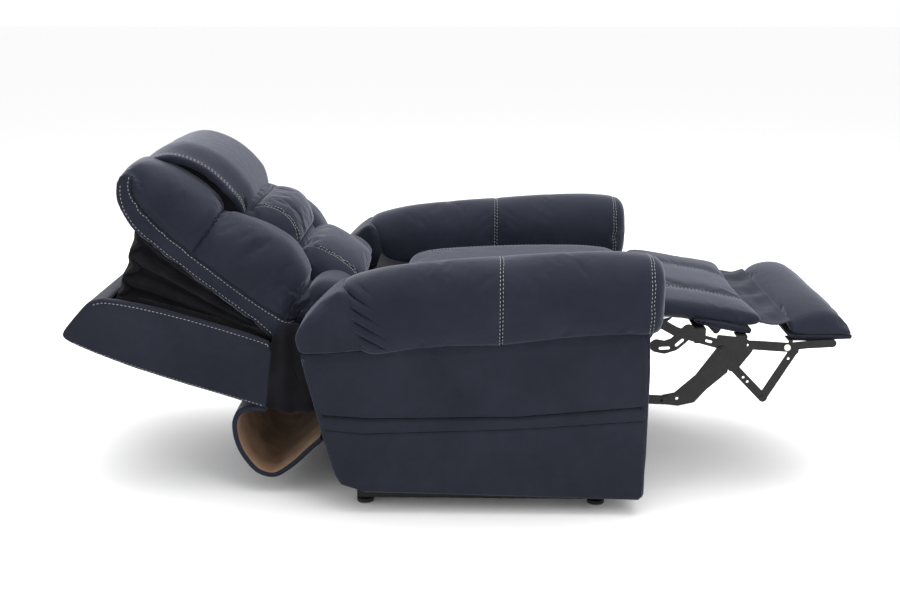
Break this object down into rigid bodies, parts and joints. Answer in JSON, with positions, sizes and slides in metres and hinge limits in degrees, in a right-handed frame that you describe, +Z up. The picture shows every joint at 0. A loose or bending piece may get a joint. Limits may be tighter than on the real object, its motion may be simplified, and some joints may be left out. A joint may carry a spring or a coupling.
{
  "type": "lift recliner chair",
  "caption": "Upholstered power lift recliner with folding footrest, reclining backrest, tilting headrest section and a floor frame whose linkage raises and tips the seat.",
  "frame": {"origin": "on the floor, under the middle of the chair's box in its reclined state", "axes": "+Z up; the sitter looks along -Y, so the footrest is at -Y and the backrest at +Y; +X is the sitter's left"},
  "size_m": [0.914, 1.991, 0.896],
  "materials": {
    "upholstery": "matte",
    "bellows_cloth": "matte",
    "black_steel": "satin",
    "zinc_steel": "satin",
    "rod_chrome": "polished",
    "black_plastic": "matte",
    "white_plastic": "matte",
    "grey_felt": "matte",
    "frame_wood": "matte"
  },
  "bodies": {
    "base": {"base_rails": "black_steel", "base_cross_tubes": "black_steel", "base_lugs": "black_steel", "glides": "black_plastic", "glide_pads": "grey_felt"},
    "lift_arms": {"lift_arm_plates": "black_steel", "lift_cross_tube": "black_steel"},
    "front_links": {"front_links": "black_steel"},
    "lift_actuator": {"lift_actuator_tube": "zinc_steel", "lift_motor_housing": "black_plastic"},
    "lift_rod": {"lift_actuator_rod": "rod_chrome"},
    "chassis": {"side_plates": "black_steel", "chassis_cross_tubes": "black_steel", "hinge_brackets": "black_steel", "chassis_pins": "zinc_steel", "seat_frame": "frame_wood", "seat_springs": "zinc_steel", "seat_cushion": "upholstery", "arm_outer_panel_left": "upholstery", "arm_outer_panel_right": "upholstery", "arm_inner_panels": "frame_wood", "arm_front_panels": "upholstery", "arm_rear_panels": "upholstery", "arm_pillow_left": "upholstery", "arm_pillow_right": "upholstery", "control_box": "black_plastic"},
    "recline_actuator": {"recline_actuator_tube": "zinc_steel", "recline_motor_housing": "black_plastic"},
    "recline_rod": {"recline_actuator_rod": "rod_chrome"},
    "leg_actuator": {"leg_actuator_tube": "zinc_steel", "leg_motor_housing": "black_plastic"},
    "leg_rod": {"leg_actuator_rod": "rod_chrome"},
    "back": {"back_rails": "black_steel", "back_cross_tubes": "black_steel", "back_shell": "upholstery", "lower_back_cushion": "upholstery", "headrest_bellows": "bellows_cloth", "rear_skirt": "bellows_cloth"},
    "headrest": {"headrest_board": "frame_wood", "side_bolster_left": "upholstery", "side_bolster_right": "upholstery", "middle_bolsters": "upholstery", "head_pillow": "upholstery"},
    "head_actuator": {"head_actuator_tube": "zinc_steel", "head_motor_housing": "black_plastic"},
    "head_rod": {"head_actuator_rod": "rod_chrome"},
    "leg_rest": {"leg_brackets": "black_steel", "leg_board": "frame_wood", "leg_cushion": "upholstery", "footrest_web": "bellows_cloth", "pivot_caps": "white_plastic"},
    "foot_pad": {"foot_brackets": "black_steel", "foot_board": "frame_wood", "foot_cushion": "upholstery"},
    "stays_lower": {"footrest_stays_lower": "black_steel"},
    "stays_upper": {"footrest_stays_upper": "black_steel"},
    "flip_upper": {"flip_links_upper": "black_steel"},
    "flip_lower": {"flip_links_lower": "black_steel"}
  },
  "joints": [
    {"name": "lift", "type": "hinge", "parent": "base", "child": "lift_arms", "pos_m": [0, -0.18, 0.058], "axis": [1, 0, 0], "range_deg": [0, 60]},
    {"name": "chassis_tilt", "type": "hinge", "parent": "lift_arms", "child": "chassis", "pos_m": [0, 0.235, 0.118], "axis": [1, 0, 0], "range_deg": [-32.5, 0]},
    {"name": "front_link_swing", "type": "hinge", "parent": "base", "child": "front_links", "pos_m": [0, -0.27, 0.05], "axis": [1, 0, 0], "range_deg": [0, 74]},
    {"name": "lift_motor_swing", "type": "hinge", "parent": "base", "child": "lift_actuator", "pos_m": [0, 0.21, 0.06], "axis": [1, 0, 0], "range_deg": [0, 1]},
    {"name": "lift_rod_slide", "type": "slide", "parent": "lift_actuator", "child": "lift_rod", "axis": [0, -0.9719, 0.2356], "range_m": [0, 0.106]},
    {"name": "recline", "type": "hinge", "parent": "chassis", "child": "back", "pos_m": [0, 0.25, 0.45], "axis": [1, 0, 0], "range_deg": [0, 60], "deforming": ["rear_skirt"]},
    {"name": "recline_motor_swing", "type": "hinge", "parent": "chassis", "child": "recline_actuator", "pos_m": [0, -0.08, 0.33], "axis": [1, 0, 0], "range_deg": [0, 6.5]},
    {"name": "recline_rod_slide", "type": "slide", "parent": "recline_actuator", "child": "recline_rod", "axis": [0, 0.9982, 0.0594], "range_m": [0, 0.096]},
    {"name": "headrest", "type": "hinge", "parent": "back", "child": "headrest", "pos_m": [0, 0.452, 0.425], "axis": [1, 0, 0], "range_deg": [-18, 0], "deforming": ["headrest_bellows"]},
    {"name": "head_motor_swing", "type": "hinge", "parent": "back", "child": "head_actuator", "pos_m": [0, 0.59, 0.33], "axis": [1, 0, 0], "range_deg": [-17.5, 0]},
    {"name": "head_rod_slide", "type": "slide", "parent": "head_actuator", "child": "head_rod", "axis": [0, 0.3846, 0.9231], "range_m": [-0.054, 0]},
    {"name": "footrest", "type": "hinge", "parent": "chassis", "child": "leg_rest", "pos_m": [0, -0.485, 0.475], "axis": [1, 0, 0], "range_deg": [0, 76]},
    {"name": "foot_pad_flip", "type": "hinge", "parent": "leg_rest", "child": "foot_pad", "pos_m": [0, -0.83, 0.4], "axis": [1, 0, 0], "range_deg": [0, 181], "deforming": ["footrest_web"]},
    {"name": "lower_stay_swing", "type": "hinge", "parent": "chassis", "child": "stays_lower", "pos_m": [0, -0.36, 0.29], "axis": [1, 0, 0], "range_deg": [0, 89]},
    {"name": "upper_stay_swing", "type": "hinge", "parent": "leg_rest", "child": "stays_upper", "pos_m": [0, -0.665, 0.39], "axis": [1, 0, 0], "range_deg": [-91, 0]},
    {"name": "leg_motor_swing", "type": "hinge", "parent": "chassis", "child": "leg_actuator", "pos_m": [0, -0.11, 0.29], "axis": [1, 0, 0], "range_deg": [0, 5.5]},
    {"name": "leg_rod_slide", "type": "slide", "parent": "leg_actuator", "child": "leg_rod", "axis": [0, -0.9611, 0.2761], "range_m": [-0.13, 0]},
    {"name": "upper_flip_swing", "type": "hinge", "parent": "leg_rest", "child": "flip_upper", "pos_m": [0, -0.7, 0.345], "axis": [1, 0, 0], "range_deg": [0, 7.5]},
    {"name": "lower_flip_swing", "type": "hinge", "parent": "foot_pad", "child": "flip_lower", "pos_m": [0, -0.85, 0.39], "axis": [1, 0, 0], "range_deg": [-196, 0]}
  ],
  "couplings": [
    {"joint": "chassis_tilt", "follows": "lift", "ratio": -0.53333},
    {"joint": "front_link_swing", "follows": "lift", "ratio": 1.2233},
    {"joint": "lift_motor_swing", "follows": "lift", "ratio": 0.0098},
    {"joint": "lift_rod_slide", "follows": "lift", "m_per_rad": 0.09926},
    {"joint": "recline_motor_swing", "follows": "recline", "ratio": 0.0979},
    {"joint": "recline_rod_slide", "follows": "recline", "m_per_rad": 0.08947},
    {"joint": "head_motor_swing", "follows": "headrest", "ratio": 0.9425},
    {"joint": "head_rod_slide", "follows": "headrest", "m_per_rad": 0.16658},
    {"joint": "foot_pad_flip", "follows": "footrest", "ratio": 2.3684},
    {"joint": "lower_stay_swing", "follows": "footrest", "ratio": 1.1579},
    {"joint": "upper_stay_swing", "follows": "footrest", "ratio": -1.1842},
    {"joint": "leg_motor_swing", "follows": "footrest", "ratio": 0.0681},
    {"joint": "leg_rod_slide", "follows": "footrest", "m_per_rad": -0.09675},
    {"joint": "upper_flip_swing", "follows": "footrest", "ratio": 0.089474},
    {"joint": "lower_flip_swing", "follows": "footrest", "ratio": -2.5605}
  ]
}
